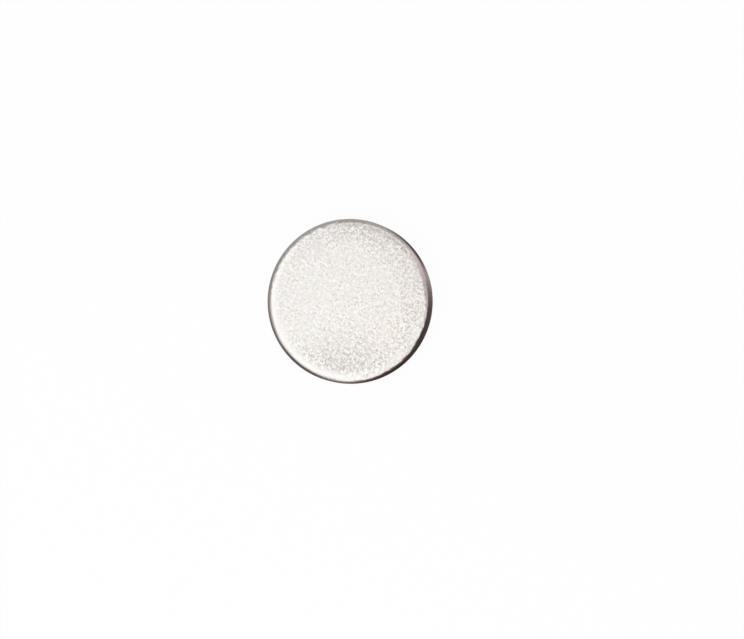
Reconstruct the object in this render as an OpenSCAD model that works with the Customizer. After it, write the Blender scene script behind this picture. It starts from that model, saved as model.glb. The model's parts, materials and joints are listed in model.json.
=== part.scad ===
// Disc magnet: one flat round slug, plated all over, with both rims tumbled round.
// The disc lies on its lower face. Its axis is Z and the origin is the middle of that face.

/* [Disc] */
// Diameter across the plated wall
disc_diameter = 10; // [4:0.5:60]
// Thickness from the lower face to the upper face
disc_thickness = 2; // [1.2:0.1:20]

/* [Edge] */
// Radius that rolls each flat face over into the wall
edge_radius = 0.5; // [0.1:0.05:0.9]

/* [Hidden] */

plate_colour = [0.93, 0.91, 0.89];
$fn = 180;

disc_radius = disc_diameter / 2;
face_radius = disc_radius - edge_radius;
wall_height = disc_thickness - 2 * edge_radius;
edge_centre_heights = [edge_radius, disc_thickness - edge_radius];

// Half of the section through the axis: a core as wide as the flat faces,
// the straight wall, and a round rim where each face meets the wall.
module half_section() {
    square([face_radius, disc_thickness]);
    translate([0, edge_radius])
        square([disc_radius, wall_height]);
    for (height = edge_centre_heights)
        translate([face_radius, height])
            circle(r = edge_radius);
}

module magnet_disc() {
    color(plate_colour)
        rotate_extrude()
            half_section();
}

magnet_disc();
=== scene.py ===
import json
import math

import bmesh
import bpy
from mathutils import Matrix, Vector, noise


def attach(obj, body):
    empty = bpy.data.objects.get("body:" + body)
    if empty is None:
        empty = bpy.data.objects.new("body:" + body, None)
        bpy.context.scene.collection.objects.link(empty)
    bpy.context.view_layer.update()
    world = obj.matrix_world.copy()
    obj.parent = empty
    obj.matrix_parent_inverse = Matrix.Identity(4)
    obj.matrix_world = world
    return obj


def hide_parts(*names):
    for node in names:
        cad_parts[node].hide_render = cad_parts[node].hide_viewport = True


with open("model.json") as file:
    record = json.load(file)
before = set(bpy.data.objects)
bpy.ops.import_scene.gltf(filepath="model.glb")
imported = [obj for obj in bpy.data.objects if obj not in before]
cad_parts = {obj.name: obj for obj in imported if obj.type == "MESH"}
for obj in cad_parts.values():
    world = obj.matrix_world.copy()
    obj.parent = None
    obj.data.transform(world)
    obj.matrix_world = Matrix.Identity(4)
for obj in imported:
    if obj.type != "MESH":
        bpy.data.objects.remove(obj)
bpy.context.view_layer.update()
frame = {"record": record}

# The disc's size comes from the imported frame: its wall and its two faces
mounts = {mount["name"]: mount for mount in frame["record"]["mounts"]}
radius = mounts["wall"]["dims"]["r_mm"] / 1000
wallHeight = mounts["wall"]["dims"]["length_mm"] / 1000
thickness = mounts["upper_face"]["pos_m"][2] - mounts["lower_face"]["pos_m"][2]
rimRadius = (thickness - wallHeight) / 2

sameSpot = 1e-7  # points closer than this count as one
noiseMiddle = 0.5  # a noise texture runs from 0 to 1, about this value
plainWhite = (1, 1, 1, 1)


def direction(azimuth, elevation):  # unit vector, in degrees, azimuth from +X towards +Y
    a, e = math.radians(azimuth), math.radians(elevation)
    return Vector((math.cos(a) * math.cos(e), math.sin(a) * math.cos(e), math.sin(e)))


def newObject(name, bm, material, smooth=False):
    mesh = bpy.data.meshes.new(name)
    bm.to_mesh(mesh)
    bm.free()
    for face in mesh.polygons:
        face.use_smooth = smooth
    mesh.materials.append(material)
    piece = bpy.data.objects.new(name, mesh)
    bpy.context.scene.collection.objects.link(piece)
    return piece


def newMaterial(name):
    material = bpy.data.materials.new(name)
    material.use_nodes = True
    material.node_tree.nodes.clear()
    return material


def addNode(tree, kind, values=None, **settings):
    node = tree.nodes.new(kind)
    for key, value in settings.items():
        setattr(node, key, value)
    for key, value in (values or {}).items():
        if isinstance(value, bpy.types.NodeSocket):
            tree.links.new(value, node.inputs[key])
        else:
            node.inputs[key].default_value = value
    return node


def mathNode(tree, operation, a, b):
    return addNode(tree, "ShaderNodeMath", {0: a, 1: b}, operation=operation).outputs[0]


def add(tree, a, b):
    return mathNode(tree, "ADD", a, b)


def minus(tree, a, b):
    return mathNode(tree, "SUBTRACT", a, b)


def times(tree, a, b):
    return mathNode(tree, "MULTIPLY", a, b)


def larger(tree, a, b):
    return mathNode(tree, "MAXIMUM", a, b)


def vectorNode(tree, operation, values, output="Vector"):
    return addNode(tree, "ShaderNodeVectorMath", values, operation=operation).outputs[output]


def dot(tree, a, b):
    return vectorNode(tree, "DOT_PRODUCT", {0: a, 1: b}, "Value")


def length(tree, vector):
    return vectorNode(tree, "LENGTH", {0: vector}, "Value")


def unit(tree, vector):
    return vectorNode(tree, "NORMALIZE", {0: vector})


def levelPart(tree, vector):  # the vector without its height
    return vectorNode(tree, "MULTIPLY", {0: vector, 1: (1, 1, 0)})


def ramp(tree, value, fromLow, fromHigh, toLow=0.0, toHigh=1.0, kind="SMOOTHSTEP"):
    return addNode(tree, "ShaderNodeMapRange", {
        "Value": value, "From Min": fromLow, "From Max": fromHigh, "To Min": toLow, "To Max": toHigh,
    }, interpolation_type=kind, clamp=True).outputs["Result"]


def mix(tree, factor, a, b):
    return addNode(tree, "ShaderNodeMix", {0: factor, 2: a, 3: b}, data_type="FLOAT").outputs[0]


def mixColour(tree, factor, a, b):
    return addNode(tree, "ShaderNodeMix", {0: factor, 6: a, 7: b}, data_type="RGBA").outputs[2]


discShape = {
    "segments": 320,  # round the axis
    "faceRings": 16,  # rings on each flat face
    "shoulderStart": 0.76,  # share of the radius where the face starts to roll off
    "shoulderDrop": 0.000025,  # how far the face has dropped where the rim begins
    "shoulderSoftness": 0.00045,  # length over which the roll-off starts
    "shoulderSegments": 6,
    "rimSegments": 14,
    "plainWave": 0.000001,  # the slight unevenness that tumbling leaves on the faces and the wall
    "rimWave": 0.000009,  # and on the rim
    "wavePitch": 0.00045,
}


def sectionOutline(bm):  # half of the section through the axis, as a wire
    s = discShape
    roll = radius * s["shoulderStart"]
    corner = thickness - s["shoulderDrop"] * (radius - roll) / (radius - rimRadius - roll)
    corners = [(0, thickness), (roll, thickness), (radius, corner)]
    corners += [(x, thickness - z) for x, z in reversed(corners)]
    verts = [bm.verts.new((x, 0, z)) for x, z in corners]
    for start, end in zip(verts, verts[1:]):
        bm.edges.new((start, end))
    bmesh.ops.bevel(bm, geom=[verts[2], verts[3]], offset=rimRadius, offset_type="OFFSET",
                    segments=s["rimSegments"], profile=0.5, affect="VERTICES", material=-1)
    shoulders = [v for v in bm.verts if abs(v.co.x - roll) < sameSpot]
    bmesh.ops.bevel(bm, geom=shoulders, offset=s["shoulderSoftness"], offset_type="OFFSET",
                    segments=s["shoulderSegments"], profile=0.5, affect="VERTICES", material=-1)
    flats = [e for e in bm.edges if min(v.co.x for v in e.verts) < sameSpot]
    bmesh.ops.subdivide_edges(bm, edges=flats, cuts=s["faceRings"])


def roughenSurface(bm):
    s = discShape
    moves = []
    for vert in bm.verts:
        across = min(1, max(0, (vert.co.xy.length - radius + rimRadius) / rimRadius))
        onRim = 4 * across * (1 - across)  # 1 halfway across the rim, 0 on the faces and the wall
        wave = s["plainWave"] + (s["rimWave"] - s["plainWave"]) * onRim
        moves.append(vert.normal * wave * noise.noise(vert.co / s["wavePitch"]))
    for vert, move in zip(bm.verts, moves):
        vert.co += move


def makeDisc(material):
    bm = bmesh.new()
    sectionOutline(bm)
    bmesh.ops.spin(bm, geom=bm.verts[:] + bm.edges[:], cent=(0, 0, 0), axis=(0, 0, 1),
                   angle=math.tau, steps=discShape["segments"], use_merge=True)
    bmesh.ops.remove_doubles(bm, verts=bm.verts, dist=sameSpot)
    bmesh.ops.recalc_face_normals(bm, faces=bm.faces)
    bm.normal_update()
    roughenSurface(bm)
    bm.normal_update()
    print("disc:", len(bm.verts), "vertices,", len(bm.faces), "faces")
    piece = newObject("magnet_disc_plated", bm, material, smooth=True)
    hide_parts("magnet_disc")
    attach(piece, "root")


plating = {
    "crestColour": (1.0, 0.962, 0.917, 1),  # the tops of the grains
    "calmColour": (0.982, 0.962, 0.927, 1),  # the same where the grain is calm
    "pitShadeColour": (0.53, 0.50, 0.47, 1),  # the gaps between the grains, darkened with painted shade
    "rimColour": (0.812, 0.808, 0.786, 1),  # rubbed smooth, and the even colour of the painted highlight on the lower-left rim
    # zones from the axis outwards: the shares of the radius where each begins and is full
    "zones": {"edge": (0.55, 0.85), "rim": (0.84, 0.91), "lumpy": (0.87, 0.94), "wall": (0.955, 0.995)},
    "noiseRoughness": 0.6,
    "grainScale": 6500,  # grains a metre, a whole number of them through the thickness
    "grainStretch": (1.08, 0.96, 1.0),
    "grainTurn": (0, 0, 0.45),
    "cellScale": 9500,  # the crystals among the grains
    "cellReach": 1.1,  # from a crystal's middle to its farthest corner, in crystals
    "cellLevels": (0.2, 0.8),  # noise level at its middle and at that corner
    "cellShare": 0.4,
    "clusterScale": 4000,
    "clusterShare": 0.10,
    "pitLevel": 0.24,  # noise level of the deepest pits
    "crestLevel": 0.585,  # and of the tops
    # sides: the azimuth, and the shares of the radius towards it where the side begins and is full
    "coarseSide": {"azimuth": -30, "begin": -0.7, "full": 0.7},  # where the grain's contrast is painted stronger, as the light falls off towards this side
    "calmGrain": 0.80,  # strength of the grain on the far side
    "coarseGrain": 1.15,
    "brightEdge": {"azimuth": 188, "begin": 0.45, "full": 0.85},  # the brightly lit edge: its grain's contrast is painted no stronger than the middle's
    "edgeGrain": 0.38,  # what the grain's painted contrast gains towards the edge elsewhere, where the reflection is dimmer
    "paintedEdgeShade": 0.025,  # and how much lower its level is there: painted shade towards the edge
    # parts of the face with painted shade and painted stronger grain contrast: the azimuth, the cosine
    # of half their width, the shares of the radius where they begin and are full, and what they add
    "dullPart": {
        "azimuth": 266, "edge": 0.70, "begin": 0.15, "full": 0.80, "grain": 0.25, "paintedShade": 0.072},
    "roughPart": {
        "azimuth": 78, "edge": 0.72, "begin": 0.68, "full": 0.80, "grain": 0.48, "paintedShade": 0.015},
    "patchScale": 1000,  # patches of calmer and coarser grain
    "patchLevels": (0.3, 0.7),  # noise levels of the calmest and the coarsest
    "patchStrength": 0.34,
    "highlightSide": {"azimuth": 222, "begin": 0.45, "full": 0.75},  # a smoother stretch of the rim: a painted highlight, the grain evened out where the bright reflection lies
    "polishAndHighlight": 0.88,  # how much of the grain is evened out there for the painted highlight
    "rimPolish": 0.20,  # and elsewhere on the rim
    "wallPolish": 0.94,  # and on the wall
    "grainHeight": 0.000016,
    "rimLumps": 0.000045,  # height of the finer lumps along the rim
    "evenSide": {"azimuth": 32, "begin": 0.45, "full": 0.85},  # where the lumps are lower
    "evenLumps": 0.4,  # share of their height that is left there
    "wallLines": 0.0000012,  # height of the faint lines round the wall
    "wallLineScale": (500, 500, 12000),  # lines a metre, along the wall and up it
    "tintScale": 1150,
    "tintStrength": 0.06,  # patches of slightly warmer and cooler metal
    "faceRoughness": 0.28,
    "rimRoughness": 0.18,
    "roughnessSpread": 0.04,
}


def noiseTexture(tree, place, scale, detail=1.0, output="Fac"):
    return addNode(tree, "ShaderNodeTexNoise", {
        "Vector": place, "Scale": scale, "Detail": detail, "Roughness": plating["noiseRoughness"],
    }).outputs[output]


def aroundZero(tree, level):  # up and down from 0 instead of from the noise's middle
    return minus(tree, level, noiseMiddle)


def towards(tree, place, side):  # 0 to 1 across the disc
    across = dot(tree, place, direction(side["azimuth"], 0) / radius)
    return ramp(tree, across, side["begin"], side["full"])


def facePart(tree, place, part):
    level = levelPart(tree, place)
    facing = ramp(tree, dot(tree, unit(tree, level), direction(part["azimuth"], 0)), part["edge"], 1.0)
    away = ramp(tree, length(tree, level), radius * part["begin"], radius * part["full"])
    return times(tree, facing, away)


def finishAndPaintedLightMasks(tree, place):  # 0 to 1 each, where on the disc a finish is, and where shade, a highlight and grain contrast are painted
    p = plating
    fromAxis = length(tree, levelPart(tree, place))
    masks = {}
    for zone, (begin, full) in p["zones"].items():
        masks[zone] = ramp(tree, fromAxis, radius * begin, radius * full)
    masks["coarse"] = towards(tree, place, p["coarseSide"])
    masks["dull"] = facePart(tree, place, p["dullPart"])
    masks["rough"] = facePart(tree, place, p["roughPart"])
    lumpsLeft = mix(tree, towards(tree, place, p["evenSide"]), 1.0, p["evenLumps"])
    masks["lumpy"] = times(tree, masks["lumpy"], lumpsLeft)
    polishAndHighlight = mix(tree, towards(tree, place, p["highlightSide"]), p["rimPolish"], p["polishAndHighlight"])
    masks["polishAndHighlight"] = mix(tree, masks["wall"], times(tree, polishAndHighlight, masks["rim"]), p["wallPolish"])
    return masks


# The grain's strength, with its contrast painted stronger where the light falls off and kept low on the
# brightly lit edge.
def grainStrength(tree, place, masks):
    p = plating
    strength = mix(tree, masks["coarse"], p["calmGrain"], p["coarseGrain"])
    edgeGain = mix(tree, towards(tree, place, p["brightEdge"]), p["edgeGrain"], 0.0)
    strength = add(tree, strength, times(tree, masks["edge"], edgeGain))
    strength = add(tree, strength, times(tree, masks["dull"], p["dullPart"]["grain"]))
    strength = add(tree, strength, times(tree, masks["rough"], p["roughPart"]["grain"]))
    low, high = 1 - p["patchStrength"], 1 + p["patchStrength"]
    patch = noiseTexture(tree, place, p["patchScale"])
    patch = ramp(tree, patch, *p["patchLevels"], low, high, kind="LINEAR")
    return times(tree, strength, patch)


def grainRise(tree, place, cluster, strength):  # up and down from 0
    p = plating
    grainPlace = addNode(tree, "ShaderNodeMapping", {
        "Vector": place, "Scale": p["grainStretch"], "Rotation": p["grainTurn"]}).outputs["Vector"]
    fine = noiseTexture(tree, grainPlace, p["grainScale"], detail=2.0)
    cells = addNode(tree, "ShaderNodeTexVoronoi", {
        "Vector": grainPlace, "Scale": p["cellScale"]}).outputs["Distance"]
    cells = ramp(tree, cells, 0.0, p["cellReach"], *p["cellLevels"], kind="LINEAR")
    grain = mix(tree, p["cellShare"], fine, cells)
    grain = mix(tree, p["clusterShare"], grain, cluster)
    return times(tree, aroundZero(tree, grain), strength)


# Painted shade on the face: towards its edge and on its low side, both kept off the rim, and on its
# high side.
def paintedGrainShade(tree, masks):
    p = plating
    paintedShade = times(tree, masks["dull"], p["dullPart"]["paintedShade"])
    paintedShade = add(tree, paintedShade, times(tree, masks["edge"], p["paintedEdgeShade"]))
    paintedShade = times(tree, paintedShade, minus(tree, 1.0, masks["rim"]))
    return add(tree, paintedShade, times(tree, masks["rough"], p["roughPart"]["paintedShade"]))


# The grain's colour runs from the metal on its tops to painted shade in its pits.
def grainColour(tree, masks, rise):
    p = plating
    level = minus(tree, add(tree, rise, noiseMiddle), paintedGrainShade(tree, masks))
    crest = ramp(tree, level, p["pitLevel"], p["crestLevel"], kind="LINEAR")
    # The tops' tint follows the painted light: warmer where the light falls off and where shade is
    # painted.
    warm = larger(tree, masks["coarse"], masks["dull"])
    crestColour = mixColour(tree, warm, p["calmColour"], p["crestColour"])
    return mixColour(tree, crest, p["pitShadeColour"], crestColour)


def tinted(tree, place, colour):
    strength = plating["tintStrength"]
    patches = noiseTexture(tree, place, plating["tintScale"], output="Color")
    tint = vectorNode(tree, "MULTIPLY", {0: patches, 1: (strength,) * 3})
    tint = vectorNode(tree, "ADD", {0: tint, 1: (1 - strength * noiseMiddle,) * 3})
    return vectorNode(tree, "MULTIPLY", {0: colour, 1: tint})


def platingRoughness(tree, rim, cluster):
    p = plating
    roughness = mix(tree, rim, p["faceRoughness"], p["rimRoughness"])
    return add(tree, roughness, times(tree, aroundZero(tree, cluster), p["roughnessSpread"]))


def wallLines(tree, place, wall):
    p = plating
    linePlace = addNode(tree, "ShaderNodeMapping", {
        "Vector": place, "Scale": p["wallLineScale"]}).outputs["Vector"]
    lines = aroundZero(tree, noiseTexture(tree, linePlace, 1.0))
    return times(tree, times(tree, lines, wall), p["wallLines"])


def reliefHeight(tree, place, masks, rise, cluster, strength):  # in metres, up and down from 0
    p = plating
    grain = times(tree, rise, p["grainHeight"])
    lumps = times(tree, aroundZero(tree, cluster), masks["lumpy"])
    lumps = times(tree, times(tree, lumps, strength), p["rimLumps"])
    relief = times(tree, add(tree, grain, lumps), minus(tree, 1.0, masks["polishAndHighlight"]))
    return add(tree, relief, wallLines(tree, place, masks["wall"]))


def platingMaterial():
    material = newMaterial("nickelPlating")
    tree = material.node_tree
    place = addNode(tree, "ShaderNodeTexCoord").outputs["Object"]
    masks = finishAndPaintedLightMasks(tree, place)
    cluster = noiseTexture(tree, place, plating["clusterScale"], detail=0.0)
    strength = grainStrength(tree, place, masks)
    rise = grainRise(tree, place, cluster, strength)
    colour = mixColour(tree, masks["polishAndHighlight"], grainColour(tree, masks, rise), plating["rimColour"])
    height = reliefHeight(tree, place, masks, rise, cluster, strength)
    bump = addNode(tree, "ShaderNodeBump", {"Height": height, "Distance": 1.0})
    shader = addNode(tree, "ShaderNodeBsdfPrincipled", {
        "Base Color": tinted(tree, place, colour),
        "Metallic": 1.0,
        "Roughness": platingRoughness(tree, masks["rim"], cluster),
        "Normal": bump.outputs["Normal"],
    })
    addNode(tree, "ShaderNodeOutputMaterial", {"Surface": shader.outputs[0]})
    print("material: nickel plating")
    return material


# The disc lies in a white tent, and the foot of the tent is open on a dim room.
# Tones are radiances: 1 shows a colour as it is written.
# A lobe lies round one direction: edge and full are the cosines of the angles from it where
# the lobe begins and is full, and gain is what it adds or takes there.
room = {
    "colour": (1.0, 0.915, 0.895, 1),
    "warmColour": (1.0, 0.825, 0.815, 1),
    "warm": {"azimuth": 318, "elevation": 0, "edge": -0.45, "full": 0.0, "gain": 1.0},
    "tone": 0.116,
    "back": {"azimuth": 80, "elevation": 0, "edge": -0.90, "full": 1.0, "gain": 0.32},
    "windows": [  # these fade out on the card close to the disc
        {"azimuth": 285, "elevation": 0, "edge": 0.70, "full": 1.0, "gain": 1.0},
        {"azimuth": 188, "elevation": 0, "edge": 0.82, "full": 1.0, "gain": 0.11},
        {"azimuth": 34, "elevation": 0, "edge": 0.92, "full": 1.0, "gain": 0.24},
    ],
}


def lobe(tree, aim, part):
    facing = dot(tree, aim, direction(part["azimuth"], part["elevation"]))
    return ramp(tree, facing, part["edge"], part["full"], 0.0, part["gain"])


def roomGroup():  # what the room sends from one side, for the tent and for the card
    group = bpy.data.node_groups.new("roomLight", "ShaderNodeTree")
    sockets = group.interface
    sockets.new_socket(name="Direction", in_out="INPUT", socket_type="NodeSocketVector")
    sockets.new_socket(name="Window Share", in_out="INPUT", socket_type="NodeSocketFloat")
    sockets.new_socket(name="Tone", in_out="OUTPUT", socket_type="NodeSocketFloat")
    sockets.new_socket(name="Colour", in_out="OUTPUT", socket_type="NodeSocketColor")
    given = addNode(group, "NodeGroupInput").outputs
    tone = add(group, room["tone"], lobe(group, given["Direction"], room["back"]))
    for window in room["windows"]:
        light = times(group, lobe(group, given["Direction"], window), given["Window Share"])
        tone = add(group, tone, light)
    warm = lobe(group, given["Direction"], room["warm"])
    colour = mixColour(group, warm, room["colour"], room["warmColour"])
    addNode(group, "NodeGroupOutput", {"Tone": tone, "Colour": colour})
    return group


def roomLight(tree, group, coords, windowShare):  # its tone and its colour
    level = unit(tree, levelPart(tree, coords))
    light = addNode(tree, "ShaderNodeGroup", {
        "Direction": level, "Window Share": windowShare}, node_tree=group).outputs
    return light["Tone"], light["Colour"]


def addGlow(tree, colour, tone):
    lit = vectorNode(tree, "SCALE", {0: colour, "Scale": tone})
    glow = addNode(tree, "ShaderNodeEmission", {"Color": lit, "Strength": 1.0})
    addNode(tree, "ShaderNodeOutputMaterial", {"Surface": glow.outputs[0]})


tent = {
    "radius": 0.08,
    "foot": 0.001,  # how far it reaches down below the disc's base
    "segments": 48,
    "rings": 24,
    "topTone": 1.0,
    "key": {"azimuth": 208, "elevation": 0, "edge": 0.09, "full": 0.34, "gain": 0.205},  # brighter side
    "edgeHeight": 0.243,  # sine of the elevation where cloth gives way to room
    "edgeSoftness": 0.45,
    "leanSide": 299,  # azimuth where the cloth comes down lowest
    "lean": 0.235,  # slope of the cloth's edge towards it
    "gaps": [  # a darker and warmer strip of the cloth, from low near +X to high towards +Y
        {"azimuth": 18, "elevation": 24, "edge": 0.83, "full": 1.0, "gain": 0.47, "warmth": 0.3},
        {"azimuth": 43, "elevation": 55, "edge": 0.93, "full": 1.0, "gain": 0.17, "warmth": 1.0},
        {"azimuth": 83, "elevation": 61, "edge": 0.90, "full": 1.0, "gain": 0.28, "warmth": 0.9},
    ],
    "gapColour": (1.0, 0.80, 0.79, 1),
}


def clothTone(tree, aim):
    tone = add(tree, tent["topTone"], lobe(tree, aim, tent["key"]))
    for gap in tent["gaps"]:
        tone = times(tree, tone, minus(tree, 1.0, lobe(tree, aim, gap)))
    return tone


def clothColour(tree, aim):
    warmth = 0.0
    for gap in tent["gaps"]:
        warmth = add(tree, warmth, times(tree, lobe(tree, aim, gap), gap["warmth"]))
    return mixColour(tree, warmth, plainWhite, tent["gapColour"])


def tentMaterial(roomNodes):
    t = tent
    material = newMaterial("tentCloth")
    tree = material.node_tree
    coords = addNode(tree, "ShaderNodeTexCoord").outputs["Object"]
    aim = unit(tree, coords)
    height = dot(tree, aim, Vector((0, 0, 1)) + direction(t["leanSide"], 0) * t["lean"])
    low, high = t["edgeHeight"] - t["edgeSoftness"], t["edgeHeight"] + t["edgeSoftness"]
    clothShare = ramp(tree, height, low, high)
    roomTone, roomColour = roomLight(tree, roomNodes, coords, 1.0)
    tone = mix(tree, clothShare, roomTone, clothTone(tree, aim))
    colour = mixColour(tree, clothShare, roomColour, clothColour(tree, aim))
    addGlow(tree, colour, tone)
    return material


def makeTent(material):
    t = tent
    bm = bmesh.new()
    bmesh.ops.create_uvsphere(bm, u_segments=t["segments"], v_segments=t["rings"], radius=t["radius"])
    bmesh.ops.bisect_plane(bm, geom=bm.verts[:] + bm.edges[:] + bm.faces[:],
                           plane_co=(0, 0, -t["foot"]), plane_no=(0, 0, -1), clear_outer=True)
    cloth = newObject("tent_cloth", bm, material)
    cloth.visible_camera = False


darkCard = {
    "floorShadowColour": (1.0, 0.70, 0.72, 1),
    "inner": 0.0040,  # radius of its hole
    "outer": 0.079,
    "segments": 128,
    "drop": 0.00001,  # under the disc, and above the floor
    "fadeStart": 0.005,  # how far out it starts to fade into the room
    "fadeEnd": 0.0165,
    # painted shadow of the disc on the floor, as the wall reflects it, darkest towards -37 degrees
    "floorShadow": {"azimuth": -37, "elevation": 0, "edge": 0.50, "full": 0.90, "gain": 0.69},
    "corner": {"azimuth": 44, "elevation": 0, "edge": 0.90, "full": 1.0, "gain": 0.90},
    "cornerEnd": 0.0095,  # how far out the corner's shade ends
}


def cardMaterial(roomNodes):
    c = darkCard
    material = newMaterial("darkCard")
    tree = material.node_tree
    coords = addNode(tree, "ShaderNodeTexCoord").outputs["Object"]
    level = unit(tree, levelPart(tree, coords))
    away = length(tree, coords)
    spread = ramp(tree, away, c["fadeStart"], c["fadeEnd"])
    near = ramp(tree, away, c["fadeStart"], c["cornerEnd"], 1.0, 0.0)
    floorShadow = lobe(tree, level, c["floorShadow"])
    corner = times(tree, near, lobe(tree, level, c["corner"]))
    roomTone, roomColour = roomLight(tree, roomNodes, coords, spread)
    tone = times(tree, roomTone, minus(tree, 1.0, floorShadow))
    tone = times(tree, tone, minus(tree, 1.0, corner))
    addGlow(tree, mixColour(tree, floorShadow, roomColour, c["floorShadowColour"]), tone)
    return material


def makeDarkCard(material):  # round the disc from just under its edge, seen only in reflections: a painted dark reflection of the floor close to the disc
    c = darkCard
    bm = bmesh.new()
    bmesh.ops.create_circle(bm, segments=c["segments"], radius=c["inner"])
    grown = bmesh.ops.extrude_edge_only(bm, edges=bm.edges[:])["geom"]
    outerVerts = [g for g in grown if isinstance(g, bmesh.types.BMVert)]
    bmesh.ops.scale(bm, vec=(c["outer"] / c["inner"],) * 3, verts=outerVerts)
    bmesh.ops.translate(bm, vec=(0, 0, -c["drop"]), verts=bm.verts)
    card = newObject("dark_card", bm, material)
    card.visible_camera = False
    card.visible_diffuse = False
    card.visible_shadow = False
    card.visible_transmission = False


floorLook = {
    "radius": 0.40,
    "segments": 96,
    "drop": 0.00003,
    "colour": (0.95, 0.95, 0.95, 1),
    "whiteShare": 0.95,  # how much of the floor shows as plain white
}


def floorMaterial():
    material = newMaterial("paleFloor")
    tree = material.node_tree
    rays = addNode(tree, "ShaderNodeLightPath").outputs
    seen = larger(tree, rays["Is Camera Ray"], rays["Is Glossy Ray"])
    seen = larger(tree, seen, rays["Is Transmission Ray"])
    share = times(tree, seen, floorLook["whiteShare"])
    matte = addNode(tree, "ShaderNodeBsdfDiffuse", {"Color": floorLook["colour"]})
    white = addNode(tree, "ShaderNodeEmission", {"Color": plainWhite, "Strength": 1.0})
    top = addNode(tree, "ShaderNodeMixShader", {0: share, 1: matte.outputs[0], 2: white.outputs[0]})
    clear = addNode(tree, "ShaderNodeBsdfTransparent")
    under = addNode(tree, "ShaderNodeNewGeometry").outputs["Backfacing"]
    both = addNode(tree, "ShaderNodeMixShader", {0: under, 1: top.outputs[0], 2: clear.outputs[0]})
    addNode(tree, "ShaderNodeOutputMaterial", {"Surface": both.outputs[0]})
    return material


def makeFloor(material):
    f = floorLook
    bm = bmesh.new()
    bmesh.ops.create_circle(bm, cap_ends=True, segments=f["segments"], radius=f["radius"])
    bmesh.ops.translate(bm, vec=(0, 0, -f["drop"]), verts=bm.verts)
    downwards = [face for face in bm.faces if face.normal.z < 0]
    bmesh.ops.reverse_faces(bm, faces=downwards)
    floor = newObject("pale_floor", bm, material)


def makeWorld():
    world = bpy.data.worlds.new("whiteRoom")
    world.use_nodes = True
    sky = world.node_tree.nodes["Background"].inputs
    sky["Color"].default_value = plainWhite
    sky["Strength"].default_value = 1.0
    bpy.context.scene.world = world


view = {
    "lens": 300,
    "sensor": 36,
    "tilt": 8,  # degrees off the disc's axis
    "towards": -18,  # azimuth that the camera leans to
    "discShare": 0.2211,  # the disc's share of the frame's width
    "left": 0.0294,  # from the frame's middle to the disc's, in shares of its width
    "up": 0.0243,
}


def makeCamera():
    back = direction(view["towards"], 90 - view["tilt"])
    right = Vector((0, 1, 0)).cross(back).normalized()
    up = back.cross(right)
    frameWidth = 2 * radius / view["discShare"]
    distance = frameWidth * view["lens"] / view["sensor"]
    middle = Vector((0, 0, thickness / 2))
    aim = middle + (right * view["left"] - up * view["up"]) * frameWidth
    lens = bpy.data.cameras.new("camera")
    lens.lens = view["lens"]
    lens.sensor_width = view["sensor"]
    camera = bpy.data.objects.new("camera", lens)
    turned = Matrix((right, up, back)).transposed().to_4x4()
    camera.matrix_world = Matrix.Translation(aim + back * distance) @ turned
    bpy.context.scene.collection.objects.link(camera)
    bpy.context.scene.camera = camera
    print("camera:", round(distance, 3), "m away")


makeDisc(platingMaterial())
roomNodes = roomGroup()
makeTent(tentMaterial(roomNodes))
makeDarkCard(cardMaterial(roomNodes))
makeFloor(floorMaterial())
makeWorld()
print("studio: tent, dark card, floor, world")
makeCamera()
bpy.context.scene.view_settings.view_transform = "Standard"
